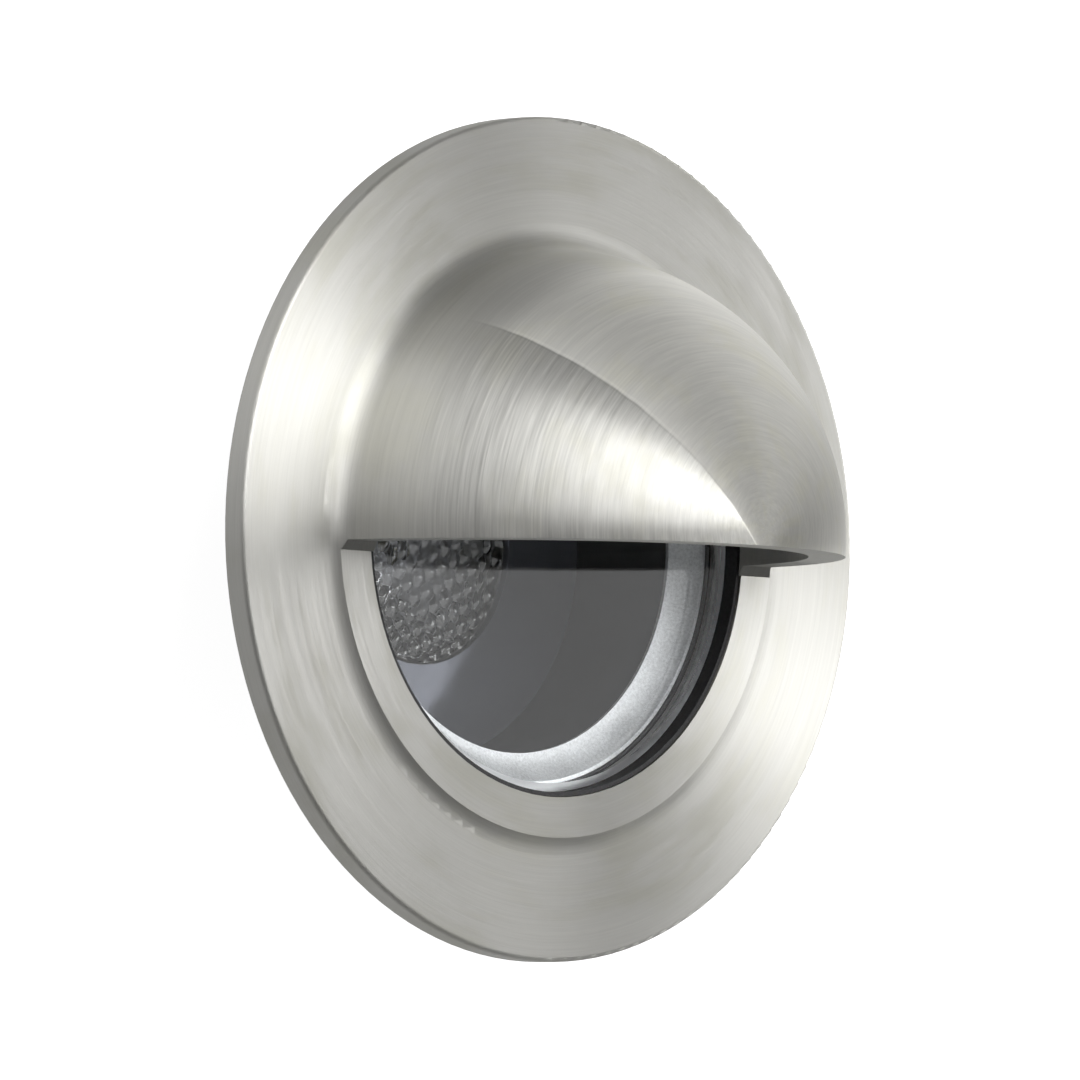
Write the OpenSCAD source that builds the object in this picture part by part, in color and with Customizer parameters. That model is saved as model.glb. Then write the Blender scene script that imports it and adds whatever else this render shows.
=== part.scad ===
// Recessed ground light with a stainless eyelid hood over a toughened glass.
// Origin: centre of the housing's flat base, on the light's axis.
// +Z points out of the ground, +Y points to the hooded side, the cable gland is on the +X side.

/* [Faceplate] */
// Outside diameter of the faceplate
plate_d = 110; // [100:0.5:120]
// Thickness of the faceplate at its rim
plate_t = 3.5; // [3:0.1:5]
// Rounding of the rim's front edge
rim_round = 0.6; // [0.3:0.1:1]
// Rounding of the rim's back edge
rim_break = 0.3; // [0.2:0.1:0.5]
// Width of the faceplate outside the light opening
plate_w = 21.4; // [19:0.1:24]
// Width of the collar round the opening, on the faceplate's back
collar_w = 8.9; // [8.2:0.1:10]
// Height of the land that stays round the open half
land_h = 0.85; // [0.4:0.05:1.2]
// Thickness of the gasket between faceplate and ground
rim_gasket_t = 1; // [0.5:0.1:2]
// Distance of that gasket from the faceplate's edge
rim_gasket_inset = 2; // [1:0.1:3]
// Distance of that gasket from the collar
rim_gasket_gap = 1.5; // [0.5:0.1:3]

/* [Hood] */
// Width of the hood's foot outside the opening
hood_foot_w = 4.4; // [4:0.1:5]
// Wall of the dome
hood_wall = 4.8; // [3.5:0.1:5.2]
// Distance of the hood's cut edge below the axis
hood_drop = 1.95; // [0.5:0.05:3]
// Radius of the cove between faceplate and dome
cove_r = 3.5; // [2:0.1:4]
// Length of the sloping foot between the land and the hood's cut
foot_run = 1.3; // [0.5:0.1:2]
// Height of that sloping foot
foot_rise = 0.7; // [0.3:0.1:1.2]

/* [Glass] */
// Gap between glass and opening, filled by the seal
glass_gap = 0.75; // [0.5:0.05:1]
// Thickness of the glass disc
glass_t = 5; // [4:0.5:6]
// Depth of the glass below the faceplate's front
glass_sink = 1.3; // [0.8:0.1:1.8]
// Width of the ground bevel round the glass's front
glass_bevel_w = 1.1; // [0.8:0.1:1.4]
// Depth of that bevel
glass_bevel_h = 0.3; // [0.2:0.05:0.5]
// Bevel on the glass's back edge
glass_bevel = 0.4; // [0.2:0.1:0.6]
// Thickness of the seal under the glass
seal_foot_t = 0.5; // [0.3:0.1:0.8]

/* [Housing] */
// Thickness of the flange
flange_t = 4; // [3.5:0.1:5]
// Wall of the straight part
body_wall = 2.2; // [1.8:0.1:3]
// Wall of the taper, measured level
taper_wall = 1.5; // [1.2:0.1:2.5]
// Thickness of the base under the circuit board
base_t = 3.2; // [2.6:0.1:5]
// Height of the short straight edge over the base
base_edge_h = 0.6; // [0.3:0.1:1]
// Width of the ledge under the glass's edge
ledge_w = 0.75; // [0.6:0.05:1]
// Width of the seat for the reflector ring
ring_seat_w = 1.1; // [0.9:0.1:1.5]
// Depth of that seat
ring_seat_depth = 1.7; // [1.4:0.1:2]
// Depth of the upper chamber below the flange's face
chamber_depth = 16.7; // [15:0.1:20]
// Room for the wires between the chamber's wall and the tube's seat
wire_gap_w = 1.4; // [1.2:0.1:2]
// Length of the bore that holds the floor plate and the baffle tube
tube_seat_len = 5.2; // [4.5:0.1:6]
// Width of the shoulder that carries the floor plate
floor_rest_w = 1.5; // [1:0.1:2]
// Height of the cone under the floor plate
throat_h = 8; // [7.8:0.1:9]
// Width of the step between the cone and the board's pocket
throat_step = 2.7; // [2:0.1:3.2]
// Depth of the board's pocket
pocket_h = 3.1; // [2.6:0.1:3.6]

/* [Reflector] */
// Distance that the reflector ring reaches inside the baffle tube
ring_overhang = 0.75; // [0.3:0.05:1.5]
// Fall of the ring's face from its rim to its inside edge
ring_fall = 2.55; // [2:0.05:3]
// Depth of the hollow that the ring's face makes between its rim and its inside edge
ring_hollow = 0.5; // [0.2:0.05:0.55]
// Sheet thickness of the ring
ring_t = 0.5; // [0.4:0.05:0.5]
// Width of the ring's flat rim
ring_rim_w = 0.5; // [0.3:0.1:0.8]
// Wall of the baffle tube
tube_wall = 1.1; // [0.8:0.1:1.2]
// Thickness of the floor plate
bezel_t = 1.2; // [1:0.1:1.5]

/* [Optic] */
// Diameter of the lens
lens_d = 31.2; // [28:0.1:33]
// Height of the lens
lens_h = 9.3; // [9:0.1:10.5]
// Thickness of the lens's front flange
lens_flange_t = 1.5; // [1:0.1:2]
// Width of the lens's front flange
lens_flange_w = 1; // [0.8:0.1:1.4]
// Diameter of the lens at its back
lens_back_d = 10; // [8:0.1:11]
// Diameter of the recess over the emitter
lens_recess_d = 5.4; // [5:0.1:6]
// Depth of that recess
lens_recess_h = 2.6; // [2.3:0.1:3]
// Wall of the lens holder
holder_wall = 1.15; // [0.9:0.05:1.5]
// Height of the holder's ring
holder_ring_h = 3.9; // [3.5:0.1:4.5]
// Number of the holder's legs
holder_legs = 3; // [3:1:3]

/* [Electronics] */
// Thickness of the circuit board
board_t = 1.6; // [1:0.1:1.6]
// Thickness of the thermal pad
pad_t = 0.4; // [0.2:0.1:0.5]
// Side of the emitter's base
emitter_w = 3.6; // [3:0.1:3.8]
// Height of the emitter's base
emitter_h = 0.7; // [0.5:0.1:0.8]
// Radius of the emitter's dome
emitter_dome_r = 1.5; // [1.2:0.1:1.7]

/* [Screws] */
// Diameter of the cover screws
cover_screw_d = 3; // [2.5:0.5:3]
// Number of cover screws
cover_screws_n = 4; // [4:1:4]
// Depth of the tapped holes in the faceplate
cover_tap_depth = 5; // [4:0.1:5.2]
// Diameter of the board screws
board_screw_d = 2; // [1.6:0.1:2.2]
// Distance of the board screws from the board's edge
board_screw_inset = 3.4; // [3:0.1:4]

/* [Gland] */
// Room between the gland's hexagon and the housing
gland_room = 0.5; // [0.3:0.1:1.2]
// Width of the gland's boss
gland_boss_d = 13; // [12.6:0.1:14]
// Length of the boss below the flange
gland_boss_len = 8; // [7.5:0.1:9]
// Thread diameter of the gland
gland_thread_d = 10; // [9:0.1:10]
// Depth of the tapped hole for the gland
gland_tap_depth = 7; // [6.8:0.1:7.2]
// Width across flats of the gland's hexagon
gland_hex = 12; // [11.6:0.1:12.2]
// Height of that hexagon
gland_hex_h = 3.5; // [3:0.1:4]
// Diameter of the cable that the gland takes
cable_d = 5; // [3:0.1:5.2]

/* [Clips] */
// Distance of the clips' pads from the flange's edge
clip_pad_inset = 5.5; // [5:0.1:6]
// Distance of a clip's pin from its bracket's face
clip_pin_reach = 3; // [2.9:0.1:3.4]
// Distance of a clip's pin below the housing's straight part
clip_pin_drop = 2; // [1:0.1:2.4]
// Diameter of a clip's pin
clip_pin_d = 3; // [2.4:0.1:3]
// Room between a folded arm and the flange
clip_arm_room = 1.3; // [0.8:0.1:3]
// Width of a clip's arm
clip_arm_w = 10.4; // [8:0.1:10.8]
// Sheet thickness of the arm
clip_arm_t = 1; // [0.8:0.1:1.1]
// Lean of the arm from upright when it rests on its stop, in degrees
clip_angle = 32; // [28:1:34]
// Inside width of the bracket
clip_fork_w = 12; // [11.6:0.1:12.6]
// Sheet thickness of the bracket
clip_sheet_t = 1; // [0.8:0.1:1.2]

/* [Hidden] */
$fn = 96;

// One overrun for every cut, and the gaps between pieces
cut = 1;
slip = 0.1;
seat_gap = 0.05;
thread_gap = 0.05;

// Diameters from the lens outwards
holder_gap = 0.15;
holder_d = lens_d + 2 * (holder_gap + holder_wall);
board_edge = 0.1;
board_d = holder_d + 2 * board_edge;
board_gap = 0.3;
pocket_d = board_d + 2 * board_gap;
throat_in_d = pocket_d + 2 * throat_step;
bezel_gap = 0.25;
bezel_hole_d = lens_d + 2 * bezel_gap;

// Diameters from the faceplate inwards
opening_d = plate_d - 2 * plate_w;
glass_d = opening_d - 2 * glass_gap;
ledge_d = glass_d - 2 * ledge_w;
chamber_d = ledge_d - 2 * ring_seat_w;
tube_seat_d = chamber_d - 2 * wire_gap_w;
throat_d = tube_seat_d - 2 * floor_rest_w;
ring_in_d = tube_seat_d - 2 * (tube_wall + ring_overhang);
body_d = chamber_d + 2 * body_wall;
flange_d = opening_d + 2 * collar_w;

// Levels of the housing, from the base up
pocket_z0 = base_t;
throat_z0 = pocket_z0 + pocket_h;
bezel_z0 = throat_z0 + throat_h;
floor_z = bezel_z0 + bezel_t;
tube_seat_z = bezel_z0 + tube_seat_len;
joint_z = tube_seat_z + chamber_depth;
straight_lap = 1.8;
body_z0 = tube_seat_z - straight_lap;
flange_z0 = joint_z - flange_t;
ring_seat_z = joint_z - ring_seat_depth;

// Base radius at which the taper keeps its wall outside every inner corner
knee_r = tube_seat_d / 2 + taper_wall;
inner_corners = [[pocket_d, pocket_z0], [throat_in_d, throat_z0]];
base_r = max([for (corner = inner_corners)
    let (rise_share = (corner[1] - base_edge_h) / (bezel_z0 - base_edge_h))
    (corner[0] / 2 + taper_wall - knee_r * rise_share) / (1 - rise_share)]);

// Levels of glass and faceplate, from the flange's face up
glass_z0 = joint_z + seal_foot_t;
glass_z1 = glass_z0 + glass_t;
plate_z1 = glass_z1 + glass_sink;
plate_z0 = plate_z1 - plate_t;
land_z = plate_z1 + land_h;
ground_z = plate_z0 - rim_gasket_t;
seal_top_gap = 0.3;

// Dome of two arcs, crown and flank, in shares of its outside radius at the faceplate
hood_r = opening_d / 2 + hood_foot_w;
crown_r_share = 0.92;
crown_lift_share = 0.108;
flank_r_share = 1.158;
crown_angle = 41;
crown_r = hood_r * crown_r_share;
flank_r = hood_r * flank_r_share;
crown_z = plate_z1 + hood_r * crown_lift_share;
dome_top = crown_z + crown_r;
flank_x = -(flank_r - crown_r) * sin(crown_angle);
flank_z = crown_z - (flank_r - crown_r) * cos(crown_angle);

// Cove between the faceplate and the flank
cove_z = plate_z1 + cove_r;
cove_x = flank_x + sqrt(pow(flank_r + cove_r, 2) - pow(cove_z - flank_z, 2));
tangent_share = flank_r / (flank_r + cove_r);
tangent_x = flank_x + (cove_x - flank_x) * tangent_share;
tangent_z = flank_z + (cove_z - flank_z) * tangent_share;

// Seal of the housing
seal_place_share = 0.26;
seal_ring_r = opening_d / 2 + collar_w * seal_place_share;
seal_ring_d = 1.4;
seal_groove_w = 1.8;

// Screws: play round a shank, room before its tip, and the heads' shape as shares of their size
screw_play = 0.2;
screw_tip_gap = 0.3;
head_round_share = 1.16;
recess_len_share = 0.5;
recess_w_share = 0.16;
recess_depth_share = 0.5;
cover_screw_angle = 45;
cover_screw_share = 0.64;
cover_screw_r = opening_d / 2 + collar_w * cover_screw_share;
cover_head_d = 5.4;
cover_head_h = 1.8;
cover_shank_len = flange_t + cover_tap_depth - screw_tip_gap;
board_screws_n = 3;
board_screw_angle = 90;
board_screw_r = board_d / 2 - board_screw_inset;
board_head_d = 3.6;
board_head_h = 1.2;
board_shank_len = 3.6;
board_tap_depth = board_shank_len - board_t - pad_t + screw_tip_gap;
bracket_screw_d = 3;
bracket_head_d = 5.4;
bracket_head_h = 1.6;
bracket_screw_len = 5;
bracket_tap_len = bracket_screw_len - clip_sheet_t + screw_tip_gap;

// Slot that the wires take past the baffle tube and the floor plate
wire_slot_angle = 180;
wire_slot_w = 3;
wire_slot_h = 3;
wire_slot_reach = 3;
wire_slot_step = 0.5;

// Lens and its holder
board_z0 = pocket_z0 + pad_t;
board_z1 = board_z0 + board_t;
lens_lift = 0.2;
lens_z0 = board_z1 + lens_lift;
lens_z1 = lens_z0 + lens_h;
lens_neck_d = lens_d - 2 * lens_flange_w;
holder_top_drop = 0.8;
holder_z1 = lens_z1 - holder_top_drop;
holder_shelf_t = 0.8;
holder_leg_angle = 30;
holder_leg_w = 3.4;
holder_leg_t = 2;

// Clock angles on the circuit board, and the radius of the parts' circle
part_inset = 4.1;
part_r = board_d / 2 - part_inset;
block_angle = 0;
choke_angle = 60;
can_angles = [120, 240];
bridge_angle = 180;
chip_angle = 300;

// Sizes of the parts on the circuit board
block_l = 5.6;
block_w = 5;
block_h = 3;
block_port_d = 1.8;
block_wire_d = 1.2;
block_port_depth = 2.4;
block_pitch = 2.6;
choke_d = 5;
choke_h = 2.6;
choke_lip = 0.6;
choke_core_d = 3.8;
can_d = 4;
can_h = 3;
can_base_w = 4.3;
can_groove = 0.25;
can_groove_z = 0.9;
bridge_l = 4.6;
bridge_w = 3.8;
bridge_h = 1.8;
bridge_leads = 2;
bridge_pitch = 2.5;
chip_l = 4.9;
chip_w = 3.8;
chip_h = 1.4;
chip_leads = 4;
chip_pitch = 1.2;
lead_w = 0.4;
lead_t = 0.25;
lead_reach = 0.7;
lead_rise = 0.7;

// Gland
gland_x = body_d / 2 + gland_room + gland_hex / 2 / cos(30);
boss_z0 = flange_z0 - gland_boss_len;
washer_t = 1;
washer_d = 12.6;
gland_hex_z1 = boss_z0 - washer_t;
gland_hex_z0 = gland_hex_z1 - gland_hex_h;
gland_stub_gap = 0.5;
gland_neck_len = 7;
gland_neck_d = 9.4;
gland_neck_z0 = gland_hex_z0 - gland_neck_len;
gland_bore_d = 6;
insert_d = 7.4;
insert_len = 6;
insert_proud = 1;
insert_z0 = gland_neck_z0 - insert_proud;
nut_hex_gap = 1;
nut_z1 = gland_hex_z0 - nut_hex_gap;
nut_wall_gap = 0.1;
nut_end_t = 1.6;
nut_z0 = insert_z0 - nut_end_t;
nut_cone_h = 2.6;
nut_nose_d = 8.6;
nut_collar_h = 1;
nut_collar_d = 13.2;
nut_mouth_play = 0.4;
wire_way_d = 4;
wire_way_z = boss_z0 + gland_tap_depth - wire_way_d / 2 - screw_tip_gap;

// Bracket of a clip
pin_z = body_z0 - clip_pin_drop;
clip_angles = [0, 180];
clip_pad_face = flange_d / 2 - clip_pad_inset;
bracket_face = clip_pad_face + clip_sheet_t;
bracket_w = clip_fork_w + 2 * clip_sheet_t;
pad_margin = 0.5;
clip_pad_w = bracket_w + 2 * pad_margin;
clip_pin_y = bracket_face + clip_pin_reach;
bracket_top_gap = 1.7;
bracket_z1 = flange_z0 - bracket_top_gap;
bracket_screw_drop = 3.9;
bracket_screw_z = bracket_z1 - bracket_screw_drop;
ear_r = 3.2;
pin_play = 0.04;
pin_head_d = 4.4;
pin_head_t = 0.6;
pin_end_gap = 0.1;

// Arm of a clip, and the tongue that its tail stops on
eye_w = 4.4;
eye_play = 0.12;
eye_wall = 0.9;
eye_in_r = (clip_pin_d + eye_play) / 2;
eye_out_r = eye_in_r + eye_wall;
strip_in = eye_out_r - clip_arm_t;
arm_wide_from = 3.6;
arm_tail = 3.4;
arm_tip_r = 1.2;
clip_arm_len = flange_z0 - clip_arm_room - arm_tip_r - pin_z;
stop_gap = 0.3;
tail_y = clip_pin_y + strip_in * cos(clip_angle) - arm_tail * sin(clip_angle);
tail_z = pin_z - strip_in * sin(clip_angle) - arm_tail * cos(clip_angle);
tongue_z0 = tail_z - clip_sheet_t / 2;

// Torsion springs round the pin: the wire comes up the bracket, winds and goes up behind the arm
wire_d = 0.6;
wire_gap = 0.3;
coil_r = clip_pin_reach - wire_gap - wire_d / 2;
coil_x0 = clip_fork_w / 2 - wire_gap / 2 - wire_d / 2;
coil_x1 = eye_w / 2 + wire_gap / 2 + wire_d / 2;
coil_rings = 8;
coil_full_turns = 2;
leg_low = pin_z - tongue_z0 - wire_d;
leg_share = 0.6;
leg_high = clip_arm_len * leg_share;
leg_y = strip_in - wire_gap - wire_d / 2;
leg_end = [
    leg_y * cos(clip_angle) + leg_high * sin(clip_angle),
    leg_high * cos(clip_angle) - leg_y * sin(clip_angle)
];
coil_a0 = 180;
coil_a1 = atan2(leg_end[1], leg_end[0]) + acos(coil_r / norm(leg_end)) - 360 * coil_full_turns;
coil_steps = ceil((coil_a0 - coil_a1) / 360 * coil_rings);

steel = [0.72, 0.72, 0.69];
satin_silver = [0.82, 0.82, 0.83];
dark_grey = [0.22, 0.22, 0.23];
black = [0.07, 0.07, 0.075];
clear = [0.85, 0.9, 0.92, 0.4];
zinc = [0.7, 0.71, 0.73];

// Ring of a given inside and outside radius between two levels
module ring(r_in, r_out, z0, z1) {
    translate([0, 0, z0]) difference() {
        cylinder(r = r_out, h = z1 - z0);
        translate([0, 0, -cut]) cylinder(r = r_in, h = z1 - z0 + 2 * cut);
    }
}

// Corner piece that a convex rounding takes away, pointing to +X +Y
module corner(r) {
    difference() {
        square([r + cut, r + cut]);
        circle(r = r, $fn = 48);
    }
}

// Places its children round the axis
module around(count, radius, start = 0) {
    for (i = [0 : count - 1])
        rotate([0, 0, start + i * 360 / count]) translate([radius, 0, 0]) children();
}

// Pan-head screw with a cross recess, its shank going up from z = 0
module pan_screw(d, head_d, head_h, len) {
    cylinder(d = d, h = len, $fn = 32);
    translate([0, 0, -head_h]) difference() {
        rotate_extrude($fn = 48) intersection() {
            square([head_d / 2, head_h]);
            translate([0, head_d / 2]) circle(d = head_d * head_round_share, $fn = 64);
        }
        for (turn = [0, 90]) rotate([0, 0, turn])
            translate([-head_d * recess_len_share / 2, -head_d * recess_w_share / 2, -cut])
                cube([head_d * recess_len_share, head_d * recess_w_share, head_h * recess_depth_share + cut]);
    }
}

// Half section of the dome, made smaller all over by a given wall
module dome_section(wall) {
    far = 2 * crown_r;
    intersection() {
        translate([0, crown_z]) circle(r = crown_r - wall, $fn = 192);
        square([far, 2 * dome_top]);
    }
    intersection() {
        translate([flank_x, flank_z]) circle(r = flank_r - wall, $fn = 192);
        polygon([[0, crown_z], [far * sin(crown_angle), crown_z + far * cos(crown_angle)],
                 [2 * far, crown_z], [2 * far, joint_z], [0, joint_z]]);
    }
}

// Half section of faceplate, collar, cove and whole dome
module cover_section() {
    difference() {
        union() {
            translate([0, plate_z0]) square([plate_d / 2, plate_t]);
            translate([0, joint_z]) square([flange_d / 2, plate_z0 - joint_z + rim_break]);
            difference() {
                polygon([
                    [0, plate_z0], [cove_x, plate_z0], [cove_x, plate_z1],
                    [tangent_x, tangent_z], [0, tangent_z]
                ]);
                translate([cove_x, cove_z]) circle(r = cove_r, $fn = 96);
            }
            intersection() {
                dome_section(0);
                translate([0, plate_z0]) square([flank_r, dome_top]);
            }
        }
        translate([plate_d / 2 - rim_round, plate_z1 - rim_round]) corner(rim_round);
        translate([plate_d / 2 - rim_break, plate_z0 + rim_break]) mirror([0, 1]) corner(rim_break);
        dome_section(hood_wall);
        translate([0, joint_z - cut]) square([opening_d / 2, land_z - joint_z + cut]);
    }
}

// Side profile of what is milled away in front of the open half, drawn as Y and Z
module open_half() {
    rotate([90, 0, 90]) linear_extrude(height = 2 * plate_d, center = true) polygon([
        [-plate_d, land_z], [-hood_drop - foot_run, land_z], [-hood_drop, land_z + foot_rise],
        [-hood_drop, 2 * dome_top], [-plate_d, 2 * dome_top]
    ]);
}

module eyelid_cover() {
    color(steel) difference() {
        rotate_extrude($fn = 192) cover_section();
        open_half();
        around(cover_screws_n, cover_screw_r, cover_screw_angle) translate([0, 0, joint_z - cut])
            cylinder(d = cover_screw_d + thread_gap, h = cover_tap_depth + cut, $fn = 32);
    }
}

module rim_gasket() {
    color(black) ring(flange_d / 2 + rim_gasket_gap, plate_d / 2 - rim_gasket_inset, ground_z, plate_z0);
}

module glass_lens() {
    color(clear) rotate_extrude($fn = 128) polygon([
        [0, glass_z0], [glass_d / 2 - glass_bevel, glass_z0], [glass_d / 2, glass_z0 + glass_bevel],
        [glass_d / 2, glass_z1 - glass_bevel_h], [glass_d / 2 - glass_bevel_w, glass_z1], [0, glass_z1]
    ]);
}

// Angle section: a skirt between glass and opening, and a foot under the glass
module glass_seal() {
    color(black) rotate_extrude($fn = 128) polygon([
        [ledge_d / 2 + slip, joint_z], [opening_d / 2 - slip, joint_z],
        [opening_d / 2 - slip, land_z - seal_top_gap], [glass_d / 2 + slip, land_z - seal_top_gap],
        [glass_d / 2 + slip, glass_z0], [ledge_d / 2 + slip, glass_z0]
    ]);
}

// Turned outside with a pad for each clip and a boss for the gland
module housing_outside() {
    rotate_extrude($fn = 128) polygon([
        [0, 0], [base_r, 0], [base_r, base_edge_h], [knee_r, bezel_z0], [body_d / 2, body_z0],
        [body_d / 2, flange_z0], [flange_d / 2, flange_z0], [flange_d / 2, joint_z], [0, joint_z]
    ]);
    for (turn = clip_angles) rotate([0, 0, turn])
        translate([-clip_pad_w / 2, 0, body_z0]) cube([clip_pad_w, clip_pad_face, flange_z0 - body_z0]);
    translate([gland_x, 0, boss_z0]) cylinder(d = gland_boss_d, h = joint_z - boss_z0, $fn = 64);
    translate([0, -gland_boss_d / 2, boss_z0]) cube([gland_x, gland_boss_d, flange_z0 - boss_z0]);
}

module housing_inside() {
    rotate_extrude($fn = 128) polygon([
        [0, pocket_z0], [pocket_d / 2, pocket_z0], [pocket_d / 2, throat_z0], [throat_in_d / 2, throat_z0],
        [throat_d / 2, bezel_z0], [tube_seat_d / 2, bezel_z0], [tube_seat_d / 2, tube_seat_z],
        [chamber_d / 2, tube_seat_z],
        [chamber_d / 2, ring_seat_z], [ledge_d / 2, ring_seat_z],
        [ledge_d / 2, joint_z + cut], [0, joint_z + cut]
    ]);
    slot_z0 = floor_z + wire_slot_step;
    rotate([0, 0, wire_slot_angle]) translate([0, -wire_slot_w / 2, slot_z0])
        cube([chamber_d / 2, wire_slot_w, tube_seat_z - slot_z0 + cut]);
}

module housing() {
    color(dark_grey) difference() {
        housing_outside();
        housing_inside();
        ring(seal_ring_r - seal_groove_w / 2, seal_ring_r + seal_groove_w / 2,
             joint_z - seal_ring_d, joint_z + cut);
        around(cover_screws_n, cover_screw_r, cover_screw_angle) translate([0, 0, flange_z0 - cut])
            cylinder(d = cover_screw_d + screw_play, h = flange_t + 2 * cut, $fn = 32);
        around(board_screws_n, board_screw_r, board_screw_angle)
            translate([0, 0, pocket_z0 - board_tap_depth])
            cylinder(d = board_screw_d + thread_gap, h = board_tap_depth + cut, $fn = 32);
        translate([gland_x, 0, boss_z0 - cut])
            cylinder(d = gland_thread_d, h = gland_tap_depth + cut, $fn = 64);
        translate([0, 0, wire_way_z]) rotate([0, 90, 0])
            cylinder(d = wire_way_d, h = gland_x, $fn = 32);
        for (turn = clip_angles) rotate([0, 0, turn])
            translate([0, clip_pad_face - bracket_tap_len, bracket_screw_z]) rotate([-90, 0, 0])
                cylinder(d = bracket_screw_d + thread_gap, h = bracket_tap_len + cut, $fn = 32);
    }
}

module housing_seal() {
    color(black) rotate_extrude($fn = 96)
        translate([seal_ring_r, joint_z - seal_ring_d / 2]) circle(d = seal_ring_d, $fn = 24);
}

module cover_screws() {
    color(zinc) around(cover_screws_n, cover_screw_r, cover_screw_angle)
        translate([0, 0, flange_z0]) pan_screw(cover_screw_d, cover_head_d, cover_head_h, cover_shank_len);
}

// Bowed sheet on a skirt that stands on its seat: the face grows steeper from its inside edge to its rim
module reflector_ring() {
    rim_r = ledge_d / 2 - slip;
    rim_z = joint_z - slip;
    chord = [rim_r - ring_rim_w - ring_in_d / 2, ring_fall];
    bow_r = (pow(norm(chord) / 2, 2) + pow(ring_hollow, 2)) / (2 * ring_hollow);
    bow = [ring_in_d / 2, rim_z - ring_fall] + chord / 2
        + (bow_r - ring_hollow) * [-chord[1], chord[0]] / norm(chord);
    color(satin_silver) rotate_extrude($fn = 128) {
        difference() {
            intersection() {
                translate(bow) circle(r = bow_r + ring_t, $fn = 96);
                translate([ring_in_d / 2, floor_z]) square([rim_r - ring_in_d / 2, rim_z - floor_z]);
            }
            translate(bow) circle(r = bow_r, $fn = 96);
        }
        translate([rim_r - ring_rim_w, ring_seat_z]) square([ring_rim_w, rim_z - ring_seat_z]);
    }
}

module baffle_tube() {
    tube_r = tube_seat_d / 2 - seat_gap;
    tube_z1 = joint_z - ring_fall - ring_t - 2 * slip;
    color(dark_grey) difference() {
        ring(tube_r - tube_wall, tube_r, floor_z, tube_z1);
        rotate([0, 0, wire_slot_angle]) translate([0, -wire_slot_w / 2, floor_z - cut])
            cube([chamber_d / 2, wire_slot_w, wire_slot_h + cut]);
    }
}

module inner_bezel() {
    bezel_r = tube_seat_d / 2 - seat_gap;
    color(dark_grey) difference() {
        ring(bezel_hole_d / 2, bezel_r, bezel_z0, floor_z);
        rotate([0, 0, wire_slot_angle])
            translate([bezel_r - wire_slot_reach, -wire_slot_w / 2, bezel_z0 - cut])
                cube([wire_slot_reach + cut, wire_slot_w, bezel_t + 2 * cut]);
    }
}

module optic_lens() {
    color(clear) rotate_extrude($fn = 96) difference() {
        polygon([
            [0, lens_z0], [lens_back_d / 2, lens_z0], [lens_neck_d / 2, lens_z1 - lens_flange_t],
            [lens_d / 2, lens_z1 - lens_flange_t], [lens_d / 2, lens_z1], [0, lens_z1]
        ]);
        polygon([
            [0, lens_z0 - cut], [lens_recess_d / 2, lens_z0 - cut],
            [lens_recess_d / 2, lens_z0 + lens_recess_h], [0, lens_z0 + lens_recess_h]
        ]);
    }
}

module optic_holder() {
    shelf_z1 = lens_z1 - lens_flange_t;
    ring_z0 = holder_z1 - holder_ring_h;
    color(black) {
        ring(lens_d / 2 + holder_gap, holder_d / 2, ring_z0, holder_z1);
        ring(lens_neck_d / 2 + holder_gap, lens_d / 2 + 2 * holder_gap, shelf_z1 - holder_shelf_t, shelf_z1);
        around(holder_legs, 0, holder_leg_angle)
            translate([holder_d / 2 - slip - holder_leg_t, -holder_leg_w / 2, board_z1])
                cube([holder_leg_t, holder_leg_w, ring_z0 + slip - board_z1]);
    }
}

// Square base with a half-ball dome
module led_emitter() {
    color([0.95, 0.85, 0.4]) {
        translate([-emitter_w / 2, -emitter_w / 2, board_z1]) cube([emitter_w, emitter_w, emitter_h]);
        translate([0, 0, board_z1]) intersection() {
            translate([0, 0, emitter_h]) sphere(r = emitter_dome_r, $fn = 48);
            cylinder(r = emitter_w, h = 2 * emitter_w);
        }
    }
}

// Disc with the board's outline and its three screw holes
module board_disc(z0, t) {
    difference() {
        translate([0, 0, z0]) cylinder(d = board_d, h = t);
        around(board_screws_n, board_screw_r, board_screw_angle) translate([0, 0, z0 - cut])
            cylinder(d = board_screw_d + screw_play, h = t + 2 * cut, $fn = 32);
    }
}

module led_board() { color([0.9, 0.9, 0.88]) board_disc(board_z0, board_t); }
module thermal_pad() { color([0.55, 0.6, 0.68]) board_disc(pocket_z0, pad_t); }

module board_screws() {
    color(zinc) around(board_screws_n, board_screw_r, board_screw_angle)
        translate([0, 0, board_z1]) rotate([180, 0, 0])
            pan_screw(board_screw_d, board_head_d, board_head_h, board_shank_len);
}

// Stands its children on the board at a clock angle, with +X outwards
module on_board(angle) {
    rotate([0, 0, angle]) translate([part_r, 0, board_z1]) children();
}

module terminal_block() {
    color([0.93, 0.93, 0.9]) on_board(block_angle) difference() {
        translate([-block_w / 2, -block_l / 2, 0]) cube([block_w, block_l, block_h]);
        for (side = [-1, 1]) translate([0, side * block_pitch / 2, 0]) {
            translate([0, 0, block_h - block_port_depth / 2])
                cylinder(d = block_port_d, h = block_h, $fn = 24);
            translate([block_w / 2 - block_port_depth, 0, block_h / 3]) rotate([0, 90, 0])
                cylinder(d = block_wire_d, h = block_h, $fn = 24);
        }
    }
}

module inductor() {
    color([0.25, 0.25, 0.26]) on_board(choke_angle) rotate_extrude($fn = 48) polygon([
        [0, 0], [choke_d / 2, 0], [choke_d / 2, choke_lip], [choke_core_d / 2, choke_lip],
        [choke_core_d / 2, choke_h - choke_lip], [choke_d / 2, choke_h - choke_lip],
        [choke_d / 2, choke_h], [0, choke_h]
    ]);
}

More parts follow.
